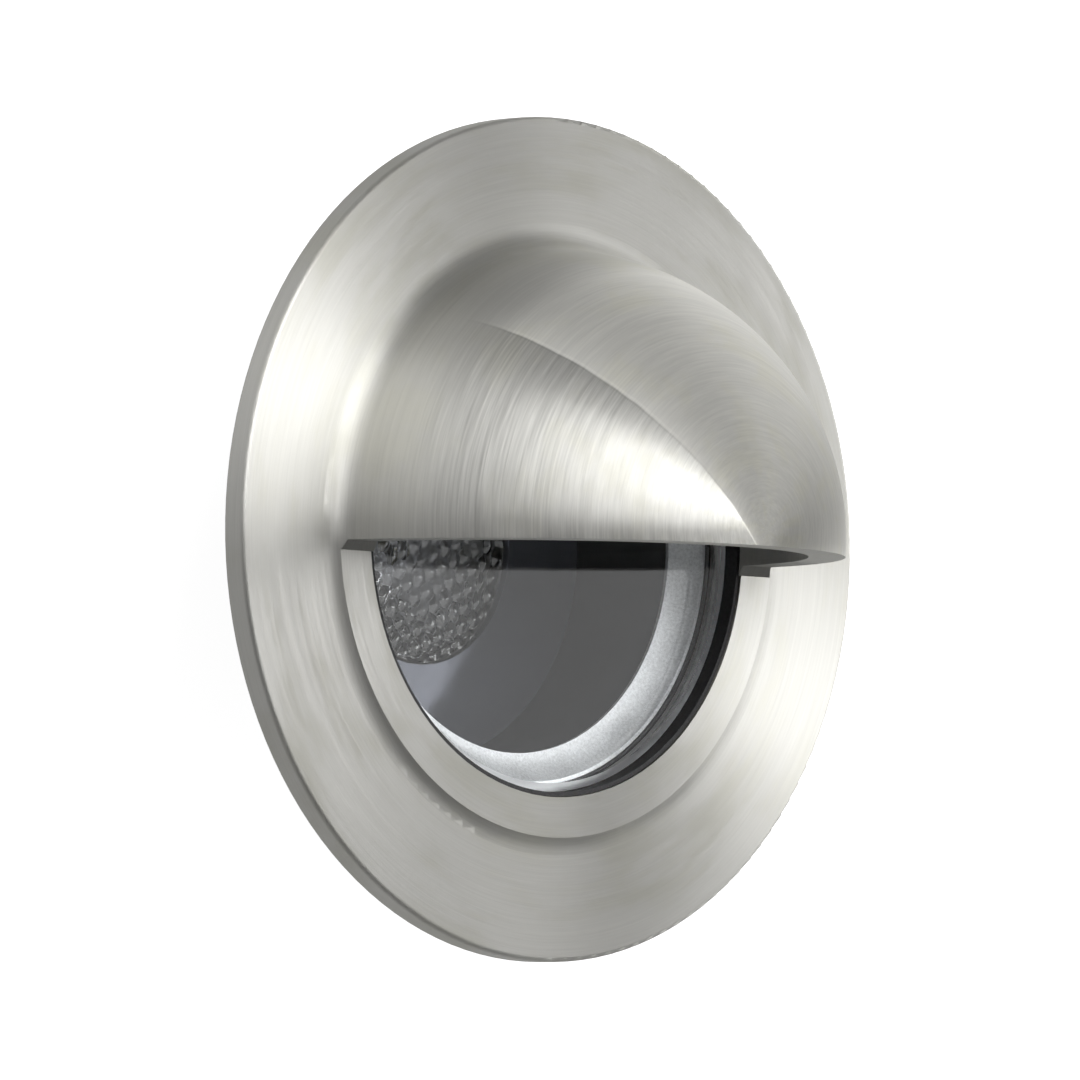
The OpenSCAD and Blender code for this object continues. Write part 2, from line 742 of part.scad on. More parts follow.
module capacitors() {
    color([0.6, 0.62, 0.66]) for (angle = can_angles) on_board(angle) {
        translate([-can_base_w / 2, -can_base_w / 2, 0]) cube([can_base_w, can_base_w, can_groove]);
        rotate_extrude($fn = 48) polygon([
            [0, 0], [can_d / 2, 0], [can_d / 2, can_groove_z],
            [can_d / 2 - can_groove, can_groove_z + can_groove],
            [can_d / 2, can_groove_z + 2 * can_groove], [can_d / 2, can_h - can_groove],
            [can_d / 2 - can_groove, can_h], [0, can_h]
        ]);
    }
}

// Moulded body with bent leads on its two long sides
module leaded_part(l, w, h, leads, pitch) {
    translate([-w / 2, -l / 2, lead_t / 2]) cube([w, l, h - lead_t / 2]);
    for (side = [-1, 1], i = [0 : leads - 1])
        translate([side * w / 2, (i - (leads - 1) / 2) * pitch - lead_w / 2, 0]) {
            translate([side < 0 ? -lead_reach : -lead_t, 0, 0]) cube([lead_reach + lead_t, lead_w, lead_t]);
            translate([(side - 1) * lead_t / 2, 0, 0]) cube([lead_t, lead_w, lead_rise]);
        }
}

module rectifier() {
    color(black) on_board(bridge_angle) leaded_part(bridge_l, bridge_w, bridge_h, bridge_leads, bridge_pitch);
}

module driver_chip() {
    color(black) on_board(chip_angle) leaded_part(chip_l, chip_w, chip_h, chip_leads, chip_pitch);
}

module hexagon(h) {
    cylinder(d = gland_hex / cos(30), h = h, $fn = 6);
}

module gland_body() {
    stub_r = gland_thread_d / 2 - thread_gap;
    stub_z1 = boss_z0 + gland_tap_depth - wire_way_d - 2 * gland_stub_gap;
    color(black) translate([gland_x, 0, 0]) difference() {
        union() {
            translate([0, 0, gland_hex_z1]) cylinder(r = stub_r, h = stub_z1 - gland_hex_z1, $fn = 64);
            translate([0, 0, gland_hex_z0]) hexagon(gland_hex_h);
            translate([0, 0, gland_neck_z0]) cylinder(d = gland_neck_d, h = gland_neck_len, $fn = 64);
        }
        translate([0, 0, gland_neck_z0 - cut])
            cylinder(d = gland_bore_d, h = stub_z1 - gland_neck_z0 + 2 * cut, $fn = 48);
        translate([0, 0, gland_neck_z0 - cut])
            cylinder(d = insert_d + 2 * seat_gap, h = insert_len - insert_proud + cut, $fn = 48);
    }
}

module gland_washer() {
    color(black) translate([gland_x, 0, 0]) ring(gland_thread_d / 2, washer_d / 2, gland_hex_z1, boss_z0);
}

module gland_insert() {
    color(black) translate([gland_x, 0, 0])
        ring(cable_d / 2 + slip, insert_d / 2, insert_z0, insert_z0 + insert_len);
}

module gland_nut() {
    color(black) translate([gland_x, 0, 0]) difference() {
        union() {
            intersection() {
                translate([0, 0, nut_z0]) hexagon(nut_z1 - nut_z0);
                rotate_extrude($fn = 64) polygon([
                    [0, nut_z0], [nut_nose_d / 2, nut_z0], [gland_hex / 2, nut_z0 + nut_cone_h],
                    [gland_hex, nut_z0 + nut_cone_h + gland_hex / 2],
                    [gland_hex, nut_z1 + cut], [0, nut_z1 + cut]
                ]);
            }
            translate([0, 0, nut_z1 - nut_collar_h]) cylinder(d = nut_collar_d, h = nut_collar_h, $fn = 64);
        }
        translate([0, 0, nut_z0 - cut])
            cylinder(r = cable_d / 2 + nut_mouth_play, h = nut_end_t + 2 * cut, $fn = 48);
        translate([0, 0, insert_z0])
            cylinder(d = gland_neck_d + 2 * nut_wall_gap, h = nut_z1 - insert_z0 + cut, $fn = 64);
    }
}

// Lays a cylinder along X with its middle on the clip's pin
module along_pin(r, len, sides = 48) {
    translate([-len / 2, clip_pin_y, pin_z]) rotate([0, 90, 0]) cylinder(r = r, h = len, $fn = sides);
}

// Bracket folded from sheet: a back plate on the housing's pad, two ears for the pin and a stop tongue
module clip_bracket() {
    difference() {
        union() {
            translate([-bracket_w / 2, clip_pad_face, tongue_z0])
                cube([bracket_w, clip_sheet_t, bracket_z1 - tongue_z0]);
            difference() {
                union() {
                    along_pin(ear_r, bracket_w);
                    translate([-bracket_w / 2, clip_pad_face, pin_z - ear_r])
                        cube([bracket_w, clip_pin_y - clip_pad_face, 2 * ear_r]);
                }
                translate([-clip_fork_w / 2, bracket_face, pin_z - 2 * ear_r])
                    cube([clip_fork_w, 2 * ear_r + clip_pin_y - bracket_face, 4 * ear_r]);
            }
            translate([-eye_w / 2, clip_pad_face, tongue_z0])
                cube([eye_w, tail_y - stop_gap - clip_pad_face, clip_sheet_t]);
        }
        along_pin((clip_pin_d + pin_play) / 2, 2 * bracket_w);
        translate([0, clip_pad_face - cut, bracket_screw_z]) rotate([-90, 0, 0])
            cylinder(d = bracket_screw_d + screw_play, h = clip_sheet_t + 2 * cut, $fn = 32);
    }
}

// Pin with a formed head at each end, just outside the ears
module clip_pin() {
    pin_len = bracket_w + 2 * pin_end_gap;
    along_pin(clip_pin_d / 2, pin_len);
    for (side = [-1, 1]) translate([side * (pin_len + pin_head_t) / 2, 0, 0])
        along_pin(pin_head_d / 2, pin_head_t);
}

// Arm with a rolled eye, a tail that stops on the tongue and a rolled lip at its tip
module clip_arm() {
    tip_y = eye_out_r - arm_tip_r;
    translate([0, clip_pin_y, pin_z]) rotate([-clip_angle, 0, 0]) difference() {
        union() {
            translate([-eye_w / 2, 0, 0]) rotate([0, 90, 0]) cylinder(r = eye_out_r, h = eye_w, $fn = 48);
            translate([-eye_w / 2, strip_in, -arm_tail]) cube([eye_w, clip_arm_t, arm_tail + arm_wide_from]);
            translate([-clip_arm_w / 2, strip_in, arm_wide_from])
                cube([clip_arm_w, clip_arm_t, clip_arm_len - arm_wide_from]);
            translate([-clip_arm_w / 2, tip_y, clip_arm_len]) rotate([0, 90, 0])
                cylinder(r = arm_tip_r, h = clip_arm_w, $fn = 32);
        }
        translate([-eye_w, 0, 0]) rotate([0, 90, 0]) cylinder(r = eye_in_r, h = 2 * eye_w, $fn = 48);
    }
}

// Centre line of one spring, round the pin's axis
function coil_point(i) = let (a = coil_a0 + (coil_a1 - coil_a0) * i / coil_steps)
    [coil_x0 + (coil_x1 - coil_x0) * i / coil_steps, coil_r * cos(a), coil_r * sin(a)];
function spring_line() = concat(
    [[coil_x0, -coil_r, -leg_low]],
    [for (i = [0 : coil_steps]) coil_point(i)],
    [[coil_x1, leg_end[0], leg_end[1]]]
);

// Least gap between two curls of the spring, measured on its points
function curl_gap(line) = min([for (i = [1 : len(line) - 2], j = [i + coil_rings / 2 : len(line) - 2])
    norm(line[i] - line[j])]) - wire_d;
echo("Least gap between the curls of a clip spring, mm", curl_gap(spring_line()));

// Tube with a given number of sides along a list of points, closed at both ends
module tube_along(points, d, sides) {
    n = len(points);
    dirs = [for (i = [0 : n - 1]) let (v = points[min(i + 1, n - 1)] - points[max(i - 1, 0)]) v / norm(v)];
    rings = [for (i = [0 : n - 1])
        let (u = cross(dirs[i], [1, 0, 0]), a = u / norm(u), b = cross(dirs[i], a))
        for (k = [0 : sides - 1])
            points[i] + (a * cos(360 * k / sides) + b * sin(360 * k / sides)) * d / 2];
    sleeve = [for (i = [0 : n - 2], k = [0 : sides - 1])
        let (m = (k + 1) % sides, near = i * sides, next = (i + 1) * sides)
        each [[near + k, next + k, next + m], [near + k, next + m, near + m]]];
    caps = [[for (k = [0 : sides - 1]) sides - 1 - k], [for (k = [0 : sides - 1]) (n - 1) * sides + k]];
    polyhedron(points = rings, faces = concat(sleeve, caps), convexity = 6);
}

// One spring on each side of the arm's eye
module clip_springs() {
    for (side = [0, 1]) mirror([side, 0, 0])
        translate([0, clip_pin_y, pin_z]) tube_along(spring_line(), wire_d, 6);
}

module clip_bracket_a() { color(zinc) clip_bracket(); }
module clip_arm_a() { color(zinc) clip_arm(); }
module clip_pin_a() { color(zinc) clip_pin(); }
module clip_springs_a() { color(zinc) clip_springs(); }
module clip_bracket_b() { color(zinc) rotate([0, 0, clip_angles[1]]) clip_bracket(); }
module clip_arm_b() { color(zinc) rotate([0, 0, clip_angles[1]]) clip_arm(); }
module clip_pin_b() { color(zinc) rotate([0, 0, clip_angles[1]]) clip_pin(); }
module clip_springs_b() { color(zinc) rotate([0, 0, clip_angles[1]]) clip_springs(); }

module bracket_screws() {
    color(zinc) for (turn = clip_angles) rotate([0, 0, turn])
        translate([0, bracket_face, bracket_screw_z]) rotate([90, 0, 0])
            pan_screw(bracket_screw_d, bracket_head_d, bracket_head_h, bracket_screw_len);
}

eyelid_cover();
rim_gasket();
glass_lens();
glass_seal();
housing();
housing_seal();
cover_screws();
reflector_ring();
baffle_tube();
inner_bezel();
optic_lens();
optic_holder();
led_emitter();
led_board();
thermal_pad();
board_screws();
terminal_block();
inductor();
capacitors();
rectifier();
driver_chip();
gland_body();
gland_washer();
gland_insert();
gland_nut();
clip_bracket_a();
clip_arm_a();
clip_pin_a();
clip_springs_a();
clip_bracket_b();
clip_arm_b();
clip_pin_b();
clip_springs_b();
bracket_screws();
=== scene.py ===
"""Dresses the recessed eyelid light: finishes, the pebbled lens, the clip springs and a plain stage."""
import math

import bmesh
import bpy
from bpy.props import FloatProperty, FloatVectorProperty, IntProperty, PointerProperty
from bpy.types import Operator, Panel, PropertyGroup
from mathutils import Matrix, Vector


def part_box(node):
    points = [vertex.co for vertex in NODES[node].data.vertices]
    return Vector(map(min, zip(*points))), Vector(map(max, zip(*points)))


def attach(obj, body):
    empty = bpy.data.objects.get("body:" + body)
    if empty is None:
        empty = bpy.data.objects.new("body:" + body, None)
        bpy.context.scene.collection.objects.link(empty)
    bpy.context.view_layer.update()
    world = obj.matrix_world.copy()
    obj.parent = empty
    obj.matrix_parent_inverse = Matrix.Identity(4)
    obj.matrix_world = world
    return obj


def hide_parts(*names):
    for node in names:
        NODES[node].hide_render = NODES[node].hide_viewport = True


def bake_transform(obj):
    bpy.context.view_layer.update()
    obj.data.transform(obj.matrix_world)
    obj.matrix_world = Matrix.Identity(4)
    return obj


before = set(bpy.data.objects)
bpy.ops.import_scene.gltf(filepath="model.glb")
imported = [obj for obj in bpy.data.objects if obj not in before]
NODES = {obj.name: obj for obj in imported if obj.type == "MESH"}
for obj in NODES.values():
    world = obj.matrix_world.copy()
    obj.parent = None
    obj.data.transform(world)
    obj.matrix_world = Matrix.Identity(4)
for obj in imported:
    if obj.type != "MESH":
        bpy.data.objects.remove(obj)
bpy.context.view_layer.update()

bl_info = {
    "name": "Recessed Eyelid Light",
    "version": (1, 0, 0),
    "blender": (4, 5, 0),
    "location": "View3D > Sidebar > Eyelid Light",
    "description": "Finishes, lens, springs and stage for a recessed eyelid ground light",
    "category": "Object",
}

LENS_LOW, LENS_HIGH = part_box("optic_lens")
PIN_A_LOW, PIN_A_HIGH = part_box("clip_pin_a")

# Points that are closer than this are one point
WELD = 1e-7

# Lens: rings of faces across its front, the lean of its rows of pebbles, and the angle past which an edge is sharp
LENS_ROWS = 130
PEBBLE_LEAN = math.radians(76)
LENS_SHARP_ANGLE = math.radians(38)

# Springs: whole turns that the coil takes off the legs' angle, points along the coil, sides of the wire
SPRING_TURNS = 2
SPRING_STEPS = 56
WIRE_SIDES = 12

# Glass: width and height of the ground bevel, and how far under the glass's rim the ground side begins
BEVEL_WIDTH = 0.00112
BEVEL_HEIGHT = 0.00033
GROUND_SIDE = 0.0007

# Floor: depth under the base, half its width, and the level at which the camera sees it over its own white
FLOOR_DEPTH = 0.0003
FLOOR_HALF = 20.0
FLOOR_GLOW = 0.95

# Lamps: name, tilt from straight up, turn round the light's axis and width of the disc, in degrees
LAMPS = (("key", 26, 126, 38), ("fill", 31, 13, 24), ("side", 60, 20, 30), ("low", 82, 5, 40),
         ("top", 28, 90, 30), ("window", 44, 4.5, 10))

# Camera: what it looks at, the direction to it, its roll, and its distance for the focal length that was fitted
CAMERA_TARGET = (0.0, 0.0, 0.043)
CAMERA_AWAY = (-0.692552, -0.054079, 0.719338)
CAMERA_ROLL = math.radians(0.92)
CAMERA_DISTANCE = 1.5606
FITTED_FOCAL_LENGTH = 400.0
SENSOR_WIDTH = 36.0
CAMERA_SHIFT = (-0.01368, -0.00094)


def length(name, about, default, low, high):
    return FloatProperty(name=name, description=about, default=default, min=low, max=high, unit="LENGTH", precision=5)


def strength(name, about, default, high=10.0):
    return FloatProperty(name=name, description=about, default=default, min=0.0, max=high)


def colour(name, about, default):
    return FloatVectorProperty(name=name, description=about, default=default, size=3, min=0.0, max=1.0,
                               subtype="COLOR")


class EyelidLensSettings(PropertyGroup):
    """Sizes of the pebbled lens."""
    flange_thickness: length("Flange thickness", "Thickness of the lens's front flange", 0.0015, 0.001, 0.002)
    flange_width: length("Flange width", "Width of the lens's front flange", 0.001, 0.0008, 0.0014)
    back_radius: length("Back radius", "Radius of the lens at its back", 0.005, 0.004, 0.0055)
    recess_radius: length("Recess radius", "Radius of the recess over the emitter", 0.0027, 0.0025, 0.003)
    recess_height: length("Recess height", "Depth of the recess over the emitter", 0.0026, 0.0023, 0.003)
    pebble_pitch: length("Pebble pitch", "Distance from pebble to pebble", 0.0021, 0.001, 0.004)
    pebble_height: length("Pebble height", "Height of a pebble over the valleys", 0.0005, 0.0001, 0.001)
    pebble_disorder: FloatProperty(name="Pebble disorder", description="How far pebbles stray, against the pitch",
                                   default=0.45, min=0.0, max=2.0, subtype="FACTOR")
    steps: IntProperty(name="Steps", description="Steps round the lens", default=360, min=96, max=720)


class EyelidSpringSettings(PropertyGroup):
    """Sizes of the torsion springs of the clips."""
    wire: length("Wire", "Diameter of the spring wire", 0.0006, 0.0004, 0.0008)
    coil_radius: length("Coil radius", "Mean radius of the coils", 0.0024, 0.002, 0.003)
    outer: length("Outer end", "Distance of the outer end from the clip's middle", 0.00555, 0.005, 0.006)
    inner: length("Inner end", "Distance of the inner end from the clip's middle", 0.00265, 0.002, 0.003)
    low_leg: length("Low leg", "Length of the leg on the bracket", 0.003557, 0.002, 0.005)
    arm_leg_out: length("Arm leg out", "How far out the leg behind the arm ends", 0.005181, 0.003, 0.007)
    arm_leg_up: length("Arm leg up", "How far up the leg behind the arm ends", 0.006668, 0.004, 0.009)


class EyelidFinishSettings(PropertyGroup):
    """Colours of the finishes."""
    steel: colour("Steel", "Brushed stainless of the faceplate and hood", (0.60, 0.595, 0.565))
    glass: colour("Glass", "Clear glass under the hood", (0.985, 0.995, 0.992))
    silver: colour("Silver", "Satin silver of the reflector ring", (0.66, 0.67, 0.69))
    dark_grey: colour("Dark grey", "Baffle tube", (0.040, 0.039, 0.042))
    gunmetal: colour("Gunmetal", "Floor plate round the lens", (0.15, 0.157, 0.19))
    acrylic: colour("Acrylic", "Pebbled lens", (0.82, 0.825, 0.87))
    phosphor: colour("Phosphor", "Emitter under the lens", (0.2, 0.18, 0.1))
    black: colour("Black", "Housing, gland and holder", (0.018, 0.018, 0.019))
    rubber: colour("Rubber", "Seals and gasket", (0.038, 0.037, 0.039))
    board: colour("Board", "Solder mask of the circuit board", (0.78, 0.78, 0.75))
    nylon: colour("Nylon", "Terminal block", (0.74, 0.74, 0.69))
    ferrite: colour("Ferrite", "Inductor", (0.05, 0.05, 0.053))
    can: colour("Can", "Capacitors", (0.6, 0.61, 0.63))
    epoxy: colour("Epoxy", "Rectifier and driver chip", (0.022, 0.022, 0.023))
    pad: colour("Thermal pad", "Pad under the board", (0.30, 0.34, 0.40))
    sheet: colour("Sheet", "Clip sheet, pins and screws", (0.52, 0.53, 0.54))
    wire: colour("Wire", "Spring wire", (0.416, 0.424, 0.432))


class EyelidStageSettings(PropertyGroup):
    """Light and floor."""
    key: strength("Key", "Strength of the key light", 1.25)
    fill: strength("Fill", "Strength of the fill light", 0.43)
    side: strength("Side", "Strength of the side light", 0.36)
    low: strength("Low", "Strength of the low light", 0.35)
    top: strength("Top", "Strength of the light from above", 0.42)
    window: strength("Window", "Strength of the light that the glass mirrors", 0.011, high=1.0)
    room: strength("Room", "Level of the room's own light", 0.13, high=2.0)
    focal_length: FloatProperty(name="Focal length", description="Lens of the camera in millimetres",
                                default=FITTED_FOCAL_LENGTH, min=50.0, max=600.0, unit="CAMERA")


class Tree:
    """Short calls for placing and joining nodes in one node tree."""

    def __init__(self, tree):
        self.tree = tree

    def node(self, kind, **settings):
        made = self.tree.nodes.new(kind)
        for name, value in settings.items():
            setattr(made, name, value)
        return made

    def plug(self, value, socket):
        if isinstance(value, bpy.types.NodeSocket):
            self.tree.links.new(value, socket)
        elif value is not None:
            socket.default_value = value

    def math(self, operation, *values):
        made = self.node("ShaderNodeMath", operation=operation)
        for socket, value in zip(made.inputs, values):
            self.plug(value, socket)
        return made.outputs[0]

    def add(self, one, two):
        return self.math("ADD", one, two)

    def sub(self, one, two):
        return self.math("SUBTRACT", one, two)

    def mul(self, one, two):
        return self.math("MULTIPLY", one, two)

    def away(self, x, y):
        """Distance from the Z axis."""
        return self.math("SQRT", self.add(self.mul(x, x), self.mul(y, y)))

    def ramp(self, value, low, high, to_low=0.0, to_high=1.0, smooth=True):
        made = self.node("ShaderNodeMapRange", interpolation_type="SMOOTHSTEP" if smooth else "LINEAR", clamp=True)
        for name, given in (("Value", value), ("From Min", low), ("From Max", high), ("To Min", to_low),
                            ("To Max", to_high)):
            self.plug(given, made.inputs[name])
        return made.outputs["Result"]

    def mix(self, factor, one, two, blend="MIX"):
        """Mixes two colours; the socket numbers are those of the node's colour sockets."""
        made = self.node("ShaderNodeMix", data_type="RGBA", blend_type=blend)
        for number, given in ((0, factor), (6, one), (7, two)):
            self.plug(given, made.inputs[number])
        return made.outputs[2]

    def shade(self, tint, level):
        """Darkens or lightens a colour by a level."""
        return self.mix(1.0, tint, self.join(level, level, level), "MULTIPLY")

    def noise(self, vector, scale, detail=3.0, rough=0.55, w=None):
        made = self.node("ShaderNodeTexNoise", noise_dimensions="3D" if w is None else "4D")
        for name, given in (("Vector", vector), ("Scale", scale), ("Detail", detail), ("Roughness", rough)):
            self.plug(given, made.inputs[name])
        if w is not None:
            self.plug(w, made.inputs["W"])
        return made.outputs["Fac"]

    def split(self, vector):
        made = self.node("ShaderNodeSeparateXYZ")
        self.plug(vector, made.inputs[0])
        return made.outputs

    def join(self, x, y, z):
        made = self.node("ShaderNodeCombineXYZ")
        for socket, value in zip(made.inputs, (x, y, z)):
            self.plug(value, socket)
        return made.outputs[0]

    def shader(self, kind, **values):
        """Places a shader node with values on its own sockets."""
        made = self.node(kind)
        for label, value in values.items():
            self.plug(value, made.inputs[label.replace("_", " ")])
        return made

    def choose(self, factor, one, two):
        """Mixes two shaders."""
        made = self.node("ShaderNodeMixShader")
        for socket, given in zip(made.inputs, (factor, one.outputs[0], two.outputs[0])):
            self.plug(given, socket)
        return made

    def surface(self, shader):
        """Sends a shader to the material's output."""
        output = next((n for n in self.tree.nodes if n.bl_idname == "ShaderNodeOutputMaterial"), None)
        self.plug(shader.outputs[0], (output or self.node("ShaderNodeOutputMaterial")).inputs["Surface"])


def new_tree(name, kind, inputs, outputs):
    """Node group with named sockets: (name, kind, default) going in, (name, kind) going out."""
    tree = bpy.data.node_groups.new(name, kind)
    for label, socket_type, default in inputs:
        socket = tree.interface.new_socket(label, in_out="INPUT", socket_type=socket_type)
        if default is not None:
            socket.default_value = default
    for label, socket_type in outputs:
        tree.interface.new_socket(label, in_out="OUTPUT", socket_type=socket_type)
    t = Tree(tree)
    return t, t.node("NodeGroupInput").outputs, t.node("NodeGroupOutput").inputs


def once(build):
    """Builds a shader node group at its first use, and finds it again after that."""
    def found_or_built():
        return bpy.data.node_groups.get(build.__name__) or build()
    return found_or_built


@once
def circular_brushing():
    """Brush lines and faint warm stains that run round the light's axis, in metres of object space."""
    t, given, out = new_tree(
        "circular_brushing", "ShaderNodeTree",
        [("Vector", "NodeSocketVector", None), ("Line Density", "NodeSocketFloat", 3200.0),
         ("Streaks Per Turn", "NodeSocketFloat", 3.0), ("Colour", "NodeSocketColor", (0.6, 0.6, 0.57, 1.0)),
         ("Stain", "NodeSocketColor", (0.585, 0.575, 0.485, 1.0)), ("Stain Strength", "NodeSocketFloat", 0.35)],
        [("Colour", "NodeSocketColor"), ("Lines", "NodeSocketFloat"), ("Stains", "NodeSocketFloat")])
    smallest_radius, broad_streaks, broad_density, fine_share = 0.0005, 3.2, 0.42, 0.66
    stain_streaks, stain_density, stain_depth = 2.6, 190.0, 60.0
    x, y, z = t.split(given["Vector"])
    radius = t.math("MAXIMUM", t.away(x, y), smallest_radius)

    def around(per_turn, across):
        """Place that changes slowly along a circle and fast across it."""
        return t.join(t.mul(t.math("DIVIDE", x, radius), per_turn), t.mul(t.math("DIVIDE", y, radius), per_turn),
                      across)

    across = t.mul(radius, given["Line Density"])
    deep = t.mul(z, given["Line Density"])
    fine = t.noise(around(given["Streaks Per Turn"], across), 1.0, detail=3.0, rough=0.6, w=deep)
    broad = t.noise(around(broad_streaks, t.mul(across, broad_density)), 1.0, detail=2.0, rough=0.6,
                    w=t.mul(deep, broad_density))
    lines = t.add(t.mul(fine, fine_share), t.mul(broad, 1.0 - fine_share))
    stains = t.noise(around(stain_streaks, t.mul(radius, stain_density)), 1.0, detail=4.0, rough=0.62,
                     w=t.mul(z, stain_depth))
    stained = t.mix(t.ramp(stains, 0.44, 0.66), given["Colour"], given["Stain"])
    tinted = t.mix(given["Stain Strength"], given["Colour"], stained)
    t.plug(t.shade(tinted, t.ramp(lines, 0.3, 0.7, 0.90, 1.06, smooth=False)), out["Colour"])
    t.plug(lines, out["Lines"])
    t.plug(stains, out["Stains"])
    return t.tree


@once
def moulded_grain():
    """Fine grain and slow drift of colour and roughness on mouldings, rubber, castings and powder coat."""
    t, given, out = new_tree(
        "moulded_grain", "ShaderNodeTree",
        [("Vector", "NodeSocketVector", None), ("Grain Density", "NodeSocketFloat", 2500.0),
         ("Colour", "NodeSocketColor", (0.1, 0.1, 0.1, 1.0)), ("Speckle", "NodeSocketFloat", 0.2),
         ("Roughness", "NodeSocketFloat", 0.5), ("Roughness Spread", "NodeSocketFloat", 0.08)],
        [("Colour", "NodeSocketColor"), ("Roughness", "NodeSocketFloat"), ("Height", "NodeSocketFloat")])
    cloud_density, cloud_drift, full_swing = 160.0, 0.35, 4.0
    grain = t.noise(given["Vector"], given["Grain Density"], detail=3.0, rough=0.6)
    cloud = t.noise(given["Vector"], cloud_density, detail=3.0, rough=0.5)
    lift = t.mul(t.sub(grain, 0.5), t.mul(given["Speckle"], full_swing))
    drift = t.mul(t.sub(cloud, 0.5), cloud_drift)
    t.plug(t.shade(given["Colour"], t.add(1.0, t.add(lift, drift))), out["Colour"])
    spread = t.mul(t.sub(cloud, 0.5), t.mul(given["Roughness Spread"], full_swing))
    t.plug(t.add(given["Roughness"], spread), out["Roughness"])
    t.plug(grain, out["Height"])
    return t.tree


@once
def finishing_edge():
    """Edge across the dome where two passes of finishing meet: masks of its two sides, and of two thin lines along it
    that are a painted shade and a painted highlight of the crease there.
    """
    t, given, out = new_tree(
        "finishing_edge", "ShaderNodeTree",
        [("Vector", "NodeSocketVector", None), ("Start Height", "NodeSocketFloat", 0.05),
         ("Offset", "NodeSocketFloat", 0.0035), ("Slope", "NodeSocketFloat", 0.8)],
        [("Smooth Side", "NodeSocketFloat"), ("Streaked Side", "NodeSocketFloat"), ("Dark Line", "NodeSocketFloat"),
         ("Light Line", "NodeSocketFloat")])
    # The offset is how far the painted highlight line lies past the painted shade line
    waver_size, start_width, line_width, painted_highlight_offset = 0.0012, 0.012, 0.0004, 0.0006
    x, y, z = t.split(given["Vector"])
    waver = t.mul(t.sub(t.noise(given["Vector"], 110.0, detail=2.0, rough=0.5), 0.5), waver_size)
    past = t.add(t.add(t.add(x, given["Offset"]), t.mul(y, given["Slope"])), waver)
    dome = t.ramp(z, given["Start Height"], t.add(given["Start Height"], start_width))
    side = t.ramp(past, -line_width / 2, line_width)
    t.plug(t.mul(side, dome), out["Smooth Side"])
    t.plug(t.mul(t.sub(1.0, side), dome), out["Streaked Side"])
    # The two thin lines are a painted shade and a painted highlight of the crease, faded in up the dome
    upper = t.mul(dome, t.ramp(y, 0.004, 0.016))
    for name, at in (("Dark Line", 0.0), ("Light Line", painted_highlight_offset)):
        near = t.ramp(t.math("ABSOLUTE", t.sub(past, at)), 0.0, line_width, 1.0, 0.0)
        t.plug(t.mul(near, upper), out[name])
    return t.tree


def rgba(value):
    return (*value[:3], 1.0)


def start_material(name, **values):
    """Material with one Principled shader, and its Object coordinates."""
    made = bpy.data.materials.new(name)
    made.use_nodes = True
    made.node_tree.nodes.clear()
    t = Tree(made.node_tree)
    shader = t.shader("ShaderNodeBsdfPrincipled", **values)
    t.surface(shader)
    return made, t, shader, t.node("ShaderNodeTexCoord").outputs["Object"]


def add_group(t, tree, **values):
    made = t.node("ShaderNodeGroup", node_tree=tree)
    for label, value in values.items():
        t.plug(value, made.inputs[label.replace("_", " ")])
    return made.outputs


def bump(t, shader, height, distance, strength=1.0):
    made = t.node("ShaderNodeBump")
    for label, value in (("Strength", strength), ("Distance", distance), ("Height", height)):
        t.plug(value, made.inputs[label])
    t.plug(made.outputs["Normal"], shader.inputs["Normal"])


def brushed_steel(name, base, roughness=0.37):
    """Steel brushed round the light's axis, with its dome split by the finishing edge; the smooth side's base colour
    is brightened as painted light, and the edge carries a painted shade line and a painted highlight line.
    """
    streak_low, streak_high = 0.86, 1.1
    # Painted light: the smooth side's brightening, and the strengths of the crease's painted highlight and painted
    # shade lines
    smooth_side_painted_light, crease_highlight_gain, crease_shade_depth = 1.36, 0.08, 0.14
    line_swing, stain_swing, smooth_haze, smooth_centre = 0.06, 0.05, 0.27, 0.004
    made, t, shader, where = start_material(name, Metallic=1.0, Anisotropic=1.0, Anisotropic_Rotation=0.25)
    brush = add_group(t, circular_brushing(), Vector=where, Colour=rgba(base))
    edge = add_group(t, finishing_edge(), Vector=where)
    streaks = t.ramp(brush["Lines"], 0.34, 0.66, streak_low, streak_high, smooth=False)
    streaks = t.add(t.mul(streaks, edge["Streaked Side"]), t.sub(1.0, edge["Streaked Side"]))
    # Painted light: the smooth side's base colour is brightened, and the crease's painted highlight line is added
    level = t.add(t.ramp(edge["Smooth Side"], 0.0, 1.0, 1.0, smooth_side_painted_light), t.mul(edge["Light Line"], crease_highlight_gain))
    # Painted shade: the crease's dark line darkens the base colour
    level = t.sub(level, t.mul(edge["Dark Line"], crease_shade_depth))
    t.plug(t.shade(brush["Colour"], t.mul(level, streaks)), shader.inputs["Base Color"])
    rough = t.add(t.ramp(brush["Lines"], 0.25, 0.75, roughness - line_swing, roughness + line_swing, smooth=False),
                  t.ramp(brush["Stains"], 0.4, 0.7, 0.0, stain_swing))
    t.plug(t.add(rough, t.mul(edge["Smooth Side"], smooth_haze)), shader.inputs["Roughness"])
    bump(t, shader, brush["Lines"], 0.00004, strength=0.5)
    # The brush runs in circles; those of the smooth side have their centre a little lower
    x, y = t.split(where)[:2]
    lower = t.mul(edge["Smooth Side"], smooth_centre)
    t.plug(t.join(t.mul(t.add(y, lower), -1.0), x, 0.0), shader.inputs["Tangent"])
    return made


def moulded(name, base, roughness, density=2500.0, speckle=0.2, depth=0.00002, spread=0.08, **values):
    """Grained finish; density is in grains per metre, and depth is the height of the grain."""
    made, t, shader, where = start_material(name, **values)
    grain = add_group(t, moulded_grain(), Vector=where, Grain_Density=density, Colour=rgba(base), Speckle=speckle,
                      Roughness=roughness, Roughness_Spread=spread)
    t.plug(grain["Colour"], shader.inputs["Base Color"])
    t.plug(grain["Roughness"], shader.inputs["Roughness"])
    bump(t, shader, grain["Height"], depth)
    return made


